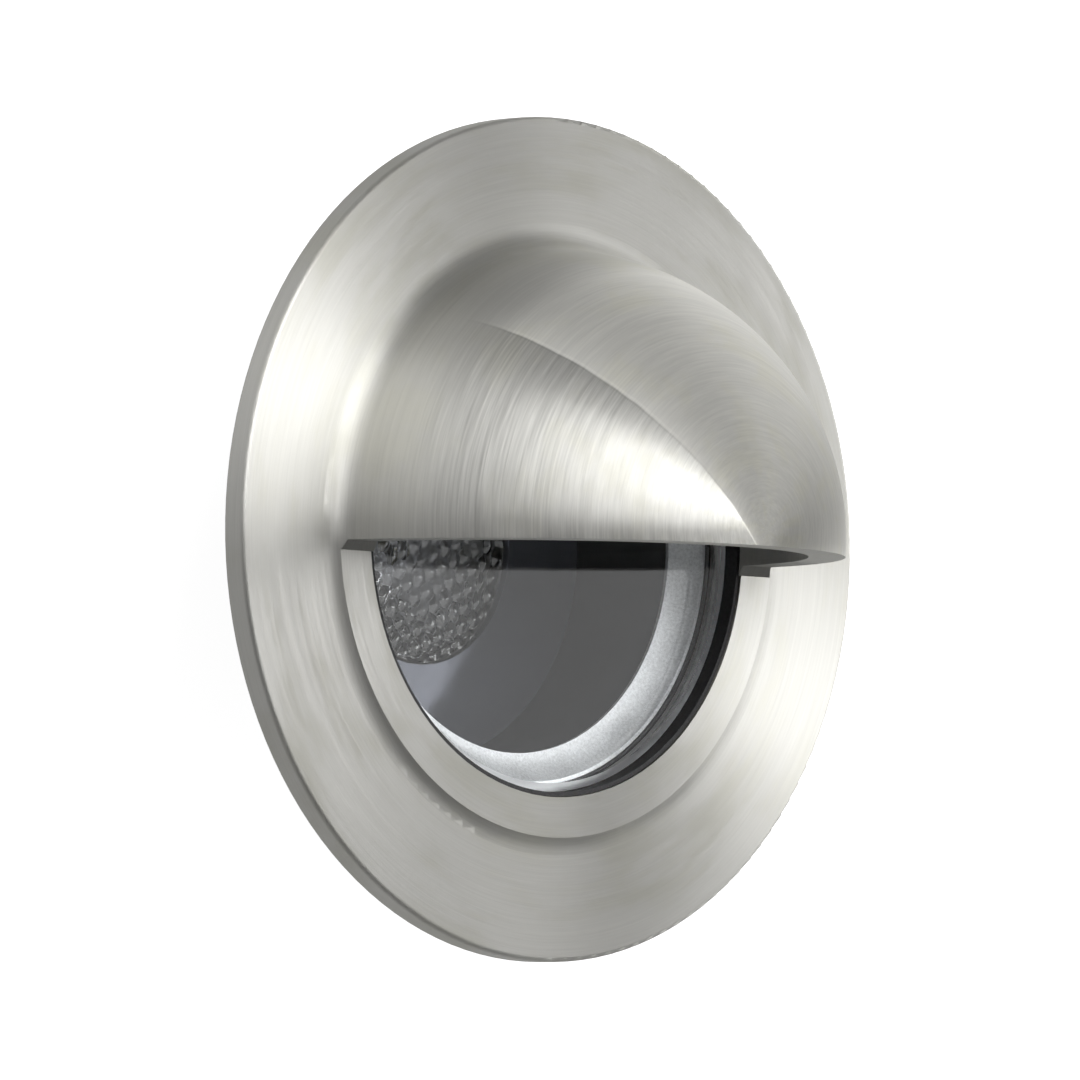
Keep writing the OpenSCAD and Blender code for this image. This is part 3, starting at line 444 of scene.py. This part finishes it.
def clear(name, tint, ior, dust=0.0, coat=0.0, ground=None):
    """Clear solid that lets the lamps light what it covers; ground: radius and height past which it is matt."""
    cloudy, shadow_loss = 0.985, 0.93
    made, t, shader, where = start_material(name, Transmission_Weight=1.0, IOR=ior, Roughness=0.0, Coat_Weight=coat)
    cloud = t.noise(where, 240.0, detail=4.0, rough=0.6)
    t.plug(t.mix(t.ramp(cloud, 0.35, 0.75), rgba(tint), rgba([c * cloudy for c in tint])),
           shader.inputs["Base Color"])
    if ground:
        x, y, z = t.split(where)
        radius = t.away(x, y)
        bevel = t.mul(t.math("GREATER_THAN", radius, ground[0]), t.math("GREATER_THAN", z, ground[1]))
        matt = t.math("MAXIMUM", bevel, t.math("GREATER_THAN", radius, ground[0] + GROUND_SIDE))
        t.plug(t.mul(matt, t.ramp(cloud, 0.3, 0.7, 0.4, 0.5)), shader.inputs["Roughness"])
    elif dust:
        t.plug(t.ramp(cloud, 0.3, 0.8, 0.0, dust), shader.inputs["Roughness"])
    see_through = t.shader("ShaderNodeBsdfTransparent", Color=rgba([c * shadow_loss for c in tint]))
    t.surface(t.choose(t.node("ShaderNodeLightPath").outputs["Is Shadow Ray"], shader, see_through))
    return made


def dress(material, *nodes):
    """Gives CAD nodes a material."""
    for name in nodes:
        mesh = NODES[name].data
        if not mesh.materials:
            mesh.materials.append(material)
        for i in range(len(mesh.materials)):
            mesh.materials[i] = material


def mesh_object(name, verts, faces, smooth=True):
    mesh = bpy.data.meshes.new(name)
    mesh.from_pydata(verts, [], faces)
    work = bmesh.new()
    work.from_mesh(mesh)
    bmesh.ops.remove_doubles(work, verts=work.verts, dist=WELD)
    bmesh.ops.recalc_face_normals(work, faces=work.faces)
    work.to_mesh(mesh)
    work.free()
    if smooth:
        mesh.shade_smooth()
    made = bpy.data.objects.new(name, mesh)
    bpy.context.scene.collection.objects.link(made)
    return made


def lathe(name, profile, steps):
    """Turns a (radius, height) outline that starts and ends on the Z axis round it."""
    rings, verts = [], []
    for r, z in profile:
        if r < WELD:
            rings.append([len(verts)] * steps)
            verts.append((0.0, 0.0, z))
        else:
            rings.append([len(verts) + k for k in range(steps)])
            turns = [2 * math.pi * k / steps for k in range(steps)]
            verts += [(r * math.cos(turn), r * math.sin(turn), z) for turn in turns]
    faces = []
    for ring, above in zip(rings, rings[1:]):
        for k in range(steps):
            m = (k + 1) % steps
            corners = list(dict.fromkeys((ring[k], ring[m], above[m], above[k])))
            if len(corners) > 2:
                faces.append(corners)
    return mesh_object(name, verts, faces)


def geometry_tree(name, inputs):
    """Geometry node tree with a mesh going in and out, and named inputs: (name, kind, default)."""
    return new_tree(name, "GeometryNodeTree", [("Geometry", "NodeSocketGeometry", None), *inputs],
                    [("Geometry", "NodeSocketGeometry")])


def close_tree(t, geometry, material, out):
    """Ends a geometry tree: real geometry, in its material."""
    whole = t.node("GeometryNodeRealizeInstances")
    t.plug(geometry, whole.inputs["Geometry"])
    paint = t.node("GeometryNodeSetMaterial")
    t.plug(whole.outputs[0], paint.inputs["Geometry"])
    paint.inputs["Material"].default_value = material
    t.plug(paint.outputs[0], out[0])


def run_tree(obj, tree, **values):
    """Runs a geometry tree on an object and keeps the result as a plain mesh."""
    step = obj.modifiers.new(tree.name, "NODES")
    step.node_group = tree
    for item in tree.interface.items_tree:
        key = item.name.replace(" ", "_").lower()
        if item.item_type == "SOCKET" and item.in_out == "INPUT" and key in values:
            step[item.identifier] = values[key]
    mesh = bpy.data.meshes.new_from_object(obj.evaluated_get(bpy.context.evaluated_depsgraph_get()))
    obj.modifiers.remove(step)
    old, obj.data = obj.data, mesh
    mesh.name = obj.name
    bpy.data.meshes.remove(old)


def pebble_tree(material):
    """Forms a mesh's front into pebbles on a leaning triangular lattice, each strayed a little from its place."""
    t, given, out = geometry_tree("pebbles", [
        ("Pitch", "NodeSocketFloat", 0.002), ("Height", "NodeSocketFloat", 0.0004),
        ("Outer Radius", "NodeSocketFloat", 0.0155), ("Front", "NodeSocketFloat", 0.0147),
        ("Disorder", "NodeSocketFloat", 0.5)])
    stray_density, squeeze, roundness, margin, skin = 420.0, 0.8, 3.0, 0.0005, 0.00001
    x, y, z = t.split(t.node("GeometryNodeInputPosition").outputs[0])
    lean_x, lean_y = math.cos(PEBBLE_LEAN), math.sin(PEBBLE_LEAN)

    def stray(place, seed):
        drift = t.sub(t.noise(t.join(x, y, seed), stray_density, detail=1.0, rough=0.5), 0.5)
        return t.add(place, t.mul(drift, t.mul(given["Pitch"], given["Disorder"])))

    def in_cell(place, pitch, offset):
        return t.sub(t.math("FRACT", t.add(t.math("DIVIDE", place, pitch), offset)), 0.5)

    along = t.mul(stray(t.add(t.mul(x, lean_x), t.mul(y, lean_y)), 3.0), squeeze)
    across = stray(t.sub(t.mul(y, lean_x), t.mul(x, lean_y)), 9.0)
    row = t.mul(given["Pitch"], math.sqrt(3.0))
    heights = []
    for offset in (0.0, 0.5):
        u = in_cell(along, given["Pitch"], offset)
        v = t.mul(in_cell(across, row, offset), math.sqrt(3.0))
        heights.append(t.sub(1.0, t.mul(t.add(t.mul(u, u), t.mul(v, v)), roundness)))
    lump = t.math("MAXIMUM", heights[0], heights[1])
    inside = t.ramp(t.away(x, y), t.sub(given["Outer Radius"], margin), given["Outer Radius"], 1.0, 0.0)
    front = t.math("GREATER_THAN", z, t.sub(given["Front"], skin))
    sink = t.mul(t.sub(lump, 1.0), given["Height"])
    move = t.node("GeometryNodeSetPosition")
    t.plug(given["Geometry"], move.inputs["Geometry"])
    t.plug(t.join(0.0, 0.0, t.mul(sink, t.mul(inside, front))), move.inputs["Offset"])
    close_tree(t, move.outputs[0], material, out)
    return t.tree


def wire_tree(material):
    """Sweeps a round wire along a line."""
    t, given, out = geometry_tree("wire", [("Radius", "NodeSocketFloat", 0.0003), ("Sides", "NodeSocketInt", 12)])
    curve = t.node("GeometryNodeMeshToCurve")
    t.plug(given["Geometry"], curve.inputs["Mesh"])
    ring = t.node("GeometryNodeCurvePrimitiveCircle")
    t.plug(given["Radius"], ring.inputs["Radius"])
    t.plug(given["Sides"], ring.inputs["Resolution"])
    sweep = t.node("GeometryNodeCurveToMesh")
    t.plug(curve.outputs[0], sweep.inputs["Curve"])
    t.plug(ring.outputs[0], sweep.inputs["Profile Curve"])
    sweep.inputs["Fill Caps"].default_value = True
    close_tree(t, sweep.outputs[0], material, out)
    return t.tree


def spring_line(size):
    """Centre line of the spring on one side: up the bracket, round the pin, and up behind the arm."""
    reach = math.hypot(size.arm_leg_out, size.arm_leg_up)
    first = math.pi
    last = math.atan2(size.arm_leg_up, size.arm_leg_out) + math.acos(size.coil_radius / reach)
    last -= 2 * math.pi * SPRING_TURNS
    line = [(size.outer, -size.coil_radius, -size.low_leg)]
    for i in range(SPRING_STEPS + 1):
        turn = first + (last - first) * i / SPRING_STEPS
        line.append((size.outer + (size.inner - size.outer) * i / SPRING_STEPS,
                     size.coil_radius * math.cos(turn), size.coil_radius * math.sin(turn)))
    line.append((size.inner, size.arm_leg_out, size.arm_leg_up))
    return line


class EYELID_OT_cover(Operator):
    """Brushed stainless on the faceplate with its hood"""
    bl_idname = "eyelid.cover"
    bl_label = "Faceplate and hood"

    def execute(self, context):
        finish = context.scene.eyelid_finish
        dress(brushed_steel("brushed_stainless", finish.steel), "eyelid_cover")
        return {"FINISHED"}


class EYELID_OT_glass(Operator):
    """Clear glass with a ground bevel, and the black rubber of seals and gasket"""
    bl_idname = "eyelid.glass"
    bl_label = "Glass and seals"

    def execute(self, context):
        finish = context.scene.eyelid_finish
        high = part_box("glass_lens")[1]
        ground = (high.x - BEVEL_WIDTH, high.z - BEVEL_HEIGHT)
        dress(clear("clear_glass", finish.glass, ior=1.5, ground=ground), "glass_lens")
        rubber = moulded("black_rubber", finish.rubber, 0.62, density=3200.0, speckle=0.45, depth=0.00004)
        dress(rubber, "glass_seal", "rim_gasket", "housing_seal", "gland_washer", "gland_insert")
        return {"FINISHED"}


class EYELID_OT_reflector(Operator):
    """Satin silver ring, and the dark grey tube and glossy floor plate under it"""
    bl_idname = "eyelid.reflector"
    bl_label = "Reflector, tube and floor plate"

    def execute(self, context):
        finish = context.scene.eyelid_finish
        silver = moulded("satin_silver", finish.silver, 0.5, density=2800.0, speckle=0.22, spread=0.05, Metallic=0.7)
        dress(silver, "reflector_ring")
        tube = moulded("dark_grey_plastic", finish.dark_grey, 0.48, density=2600.0, speckle=0.04, depth=0.000003)
        dress(tube, "baffle_tube")
        plate = moulded("gunmetal", finish.gunmetal, 0.1, density=900.0, speckle=0.05, depth=0.0, spread=0.03,
                        Metallic=0.6)
        dress(plate, "inner_bezel")
        return {"FINISHED"}


class EYELID_OT_lens(Operator):
    """Lens with a recess over the emitter, turned, and then pebbled all over its front by a geometry tree"""
    bl_idname = "eyelid.lens"
    bl_label = "Lens"

    def execute(self, context):
        size, finish = context.scene.eyelid_lens, context.scene.eyelid_finish
        low, high, rim = LENS_LOW.z, LENS_HIGH.z, LENS_HIGH.x
        neck, shelf = rim - size.flange_width, high - size.flange_thickness
        outline = [(0.0, low + size.recess_height), (size.recess_radius, low + size.recess_height)]
        outline += [(size.recess_radius, low), (size.back_radius, low), (neck, shelf), (rim, shelf), (rim, high)]
        outline += [(rim * (1 - i / LENS_ROWS), high) for i in range(1, LENS_ROWS + 1)]
        piece = lathe("pebbled_lens", outline, size.steps)
        acrylic = clear("clear_acrylic", finish.acrylic, ior=1.49, dust=0.02, coat=1.0)
        run_tree(piece, pebble_tree(acrylic), pitch=size.pebble_pitch, height=size.pebble_height,
                 outer_radius=rim, front=high, disorder=size.pebble_disorder)
        piece.data.set_sharp_from_angle(angle=LENS_SHARP_ANGLE)
        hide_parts("optic_lens")
        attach(piece, "light")
        return {"FINISHED"}


class EYELID_OT_electronics(Operator):
    """Holder, emitter, board and the parts on it"""
    bl_idname = "eyelid.electronics"
    bl_label = "Holder and electronics"

    def execute(self, context):
        finish = context.scene.eyelid_finish
        dress(moulded("holder_black", finish.black, 0.45, density=3800.0, speckle=0.2, depth=0.000015),
              "optic_holder")
        dress(moulded("phosphor", finish.phosphor, 0.3, density=5200.0, speckle=0.12), "led_emitter")
        dress(moulded("white_board", finish.board, 0.35, density=1500.0, speckle=0.05, depth=0.00001), "led_board")
        dress(moulded("grey_pad", finish.pad, 0.75, density=1800.0, speckle=0.2), "thermal_pad")
        dress(moulded("white_plastic", finish.nylon, 0.5, density=2600.0, speckle=0.06), "terminal_block")
        dress(moulded("ferrite", finish.ferrite, 0.6, density=2600.0, speckle=0.5), "inductor")
        dress(moulded("can_aluminium", finish.can, 0.3, density=1500.0, speckle=0.08, Metallic=1.0), "capacitors")
        dress(moulded("chip_epoxy", finish.epoxy, 0.55, density=3600.0, speckle=0.3), "rectifier", "driver_chip")
        return {"FINISHED"}


class EYELID_OT_housing(Operator):
    """Powder coat on the cast housing, nylon on the gland"""
    bl_idname = "eyelid.housing"
    bl_label = "Housing and gland"

    def execute(self, context):
        finish = context.scene.eyelid_finish
        dress(moulded("black_cast_aluminium", finish.black, 0.52, density=1700.0, speckle=0.35, depth=0.00009,
                      spread=0.1), "housing")
        dress(moulded("black_nylon", finish.black, 0.38, density=2800.0, speckle=0.2), "gland_body", "gland_nut")
        return {"FINISHED"}


class EYELID_OT_clips(Operator):
    """Sheet clips, pins and screws, and the springs swept along their lines"""
    bl_idname = "eyelid.clips"
    bl_label = "Clips, springs and screws"

    def execute(self, context):
        finish, size = context.scene.eyelid_finish, context.scene.eyelid_spring
        sheet = moulded("mill_sheet", finish.sheet, 0.36, density=900.0, speckle=0.12, Metallic=1.0)
        dress(sheet, "clip_bracket_a", "clip_arm_a", "clip_bracket_b", "clip_arm_b")
        bright = moulded("bright_steel", finish.sheet, 0.27, density=2200.0, speckle=0.1, depth=0.00001, Metallic=1.0)
        dress(bright, "clip_pin_a", "clip_pin_b", "cover_screws", "board_screws", "bracket_screws")
        wire = moulded("spring_wire", finish.wire, 0.3, density=2600.0, speckle=0.12, depth=0.00001, Metallic=1.0)
        tree = wire_tree(wire)
        pin = (PIN_A_LOW + PIN_A_HIGH) / 2
        line = spring_line(size)
        for letter, facing in (("a", 1), ("b", -1)):
            for side, hand in ((1, "right"), (-1, "left")):
                verts = [(facing * side * x, facing * (pin.y + y), pin.z + z) for x, y, z in line]
                name = f"spring_{letter}_{hand}"
                mesh = bpy.data.meshes.new(name)
                mesh.from_pydata(verts, [(k, k + 1) for k in range(len(line) - 1)], [])
                piece = bpy.data.objects.new(name, mesh)
                context.scene.collection.objects.link(piece)
                run_tree(piece, tree, radius=size.wire / 2, sides=WIRE_SIDES)
                piece.data.shade_smooth()
                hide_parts("clip_springs_" + letter)
                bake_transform(piece)
        return {"FINISHED"}


def make_floor():
    """White floor that takes the shadow from above, and lets a camera under it see through."""
    far, low = FLOOR_HALF, -FLOOR_DEPTH
    floor = mesh_object("floor", [(-far, -far, low), (far, -far, low), (far, far, low), (-far, far, low)],
                        [(0, 1, 2, 3)], smooth=False)
    made, t, shader, where = start_material("white_floor", Roughness=0.9)
    t.plug(t.ramp(t.noise(where, 60.0, detail=3.0, rough=0.5), 0.3, 0.7, 0.77, 0.80), shader.inputs["Base Color"])
    seen = t.node("ShaderNodeLightPath").outputs["Is Camera Ray"]
    glow = t.shader("ShaderNodeEmission", Color=(1.0, 1.0, 1.0, 1.0), Strength=t.mul(seen, FLOOR_GLOW))
    both = t.node("ShaderNodeAddShader")
    t.plug(shader.outputs[0], both.inputs[0])
    t.plug(glow.outputs[0], both.inputs[1])
    from_below = t.node("ShaderNodeNewGeometry").outputs["Backfacing"]
    t.surface(t.choose(from_below, both, t.node("ShaderNodeBsdfTransparent")))
    floor.data.materials.append(made)


def make_world(scene, room):
    """White world for the camera and through the glass, and a dim room for everything else."""
    world = bpy.data.worlds.new("studio")
    scene.world = world
    world.use_nodes = True
    world.node_tree.nodes.clear()
    t = Tree(world.node_tree)
    path = t.node("ShaderNodeLightPath").outputs
    seen = t.math("MAXIMUM", path["Is Camera Ray"], path["Is Transmission Ray"])
    back = t.shader("ShaderNodeBackground", Color=(1.0, 1.0, 1.0, 1.0), Strength=t.math("MAXIMUM", seen, room))
    t.plug(back.outputs[0], t.node("ShaderNodeOutputWorld").inputs["Surface"])


def make_lamps(scene, stage):
    """Soft lamps far away, each turned round the light's axis; strengths come from the settings."""
    for name, tilt, turn, disc in LAMPS:
        lamp = bpy.data.lights.new(name, "SUN")
        lamp.energy, lamp.angle = getattr(stage, name), math.radians(disc)
        made = bpy.data.objects.new(name, lamp)
        scene.collection.objects.link(made)
        made.rotation_euler = (0.0, math.radians(tilt), math.radians(turn))


def make_camera(scene, focal_length):
    """Camera at the photograph's angle; another focal length moves it along its own line of sight."""
    camera = bpy.data.cameras.new("camera")
    camera.lens, camera.sensor_width = focal_length, SENSOR_WIDTH
    camera.shift_x, camera.shift_y = CAMERA_SHIFT
    away = Vector(CAMERA_AWAY).normalized()
    side = (-away).cross(Vector((0, 1, 0))).normalized()
    up = side.cross(-away)
    right = math.cos(CAMERA_ROLL) * side + math.sin(CAMERA_ROLL) * up
    top = -math.sin(CAMERA_ROLL) * side + math.cos(CAMERA_ROLL) * up
    place = Vector(CAMERA_TARGET) + away * CAMERA_DISTANCE * focal_length / FITTED_FOCAL_LENGTH
    made = bpy.data.objects.new("camera", camera)
    scene.collection.objects.link(made)
    made.matrix_world = Matrix.Translation(place) @ Matrix((right, top, away)).transposed().to_4x4()
    scene.camera = made


class EYELID_OT_stage(Operator):
    """White floor, soft lamps and the camera at the photograph's angle"""
    bl_idname = "eyelid.stage"
    bl_label = "Stage"

    def execute(self, context):
        scene, stage = context.scene, context.scene.eyelid_stage
        make_floor()
        make_world(scene, stage.room)
        make_lamps(scene, stage)
        make_camera(scene, stage.focal_length)
        scene.view_settings.view_transform = "Standard"
        return {"FINISHED"}


class EYELID_PT_panel(Panel):
    """Lists the light's pieces and settings"""
    bl_idname = "EYELID_PT_panel"
    bl_label = "Eyelid Light"
    bl_space_type = "VIEW_3D"
    bl_region_type = "UI"
    bl_category = "Eyelid Light"

    def draw(self, context):
        column = self.layout.column(align=True)
        for piece in OPERATORS:
            column.operator(piece.bl_idname)
        for name in SETTINGS:
            group, box = getattr(context.scene, name), self.layout.box()
            for setting in group.__annotations__:
                box.prop(group, setting)


SETTINGS = {"eyelid_lens": EyelidLensSettings, "eyelid_spring": EyelidSpringSettings,
            "eyelid_finish": EyelidFinishSettings, "eyelid_stage": EyelidStageSettings}
OPERATORS = (EYELID_OT_cover, EYELID_OT_glass, EYELID_OT_reflector, EYELID_OT_lens, EYELID_OT_electronics,
             EYELID_OT_housing, EYELID_OT_clips, EYELID_OT_stage)


def register():
    for kind in (*SETTINGS.values(), *OPERATORS, EYELID_PT_panel):
        bpy.utils.register_class(kind)
    for name, kind in SETTINGS.items():
        setattr(bpy.types.Scene, name, PointerProperty(type=kind))


def unregister():
    for name in SETTINGS:
        delattr(bpy.types.Scene, name)
    for kind in reversed((*SETTINGS.values(), *OPERATORS, EYELID_PT_panel)):
        bpy.utils.unregister_class(kind)


def main():
    register()
    for piece in OPERATORS:
        group, name = piece.bl_idname.split(".")
        getattr(getattr(bpy.ops, group), name)()


if __name__ == "__main__":
    main()
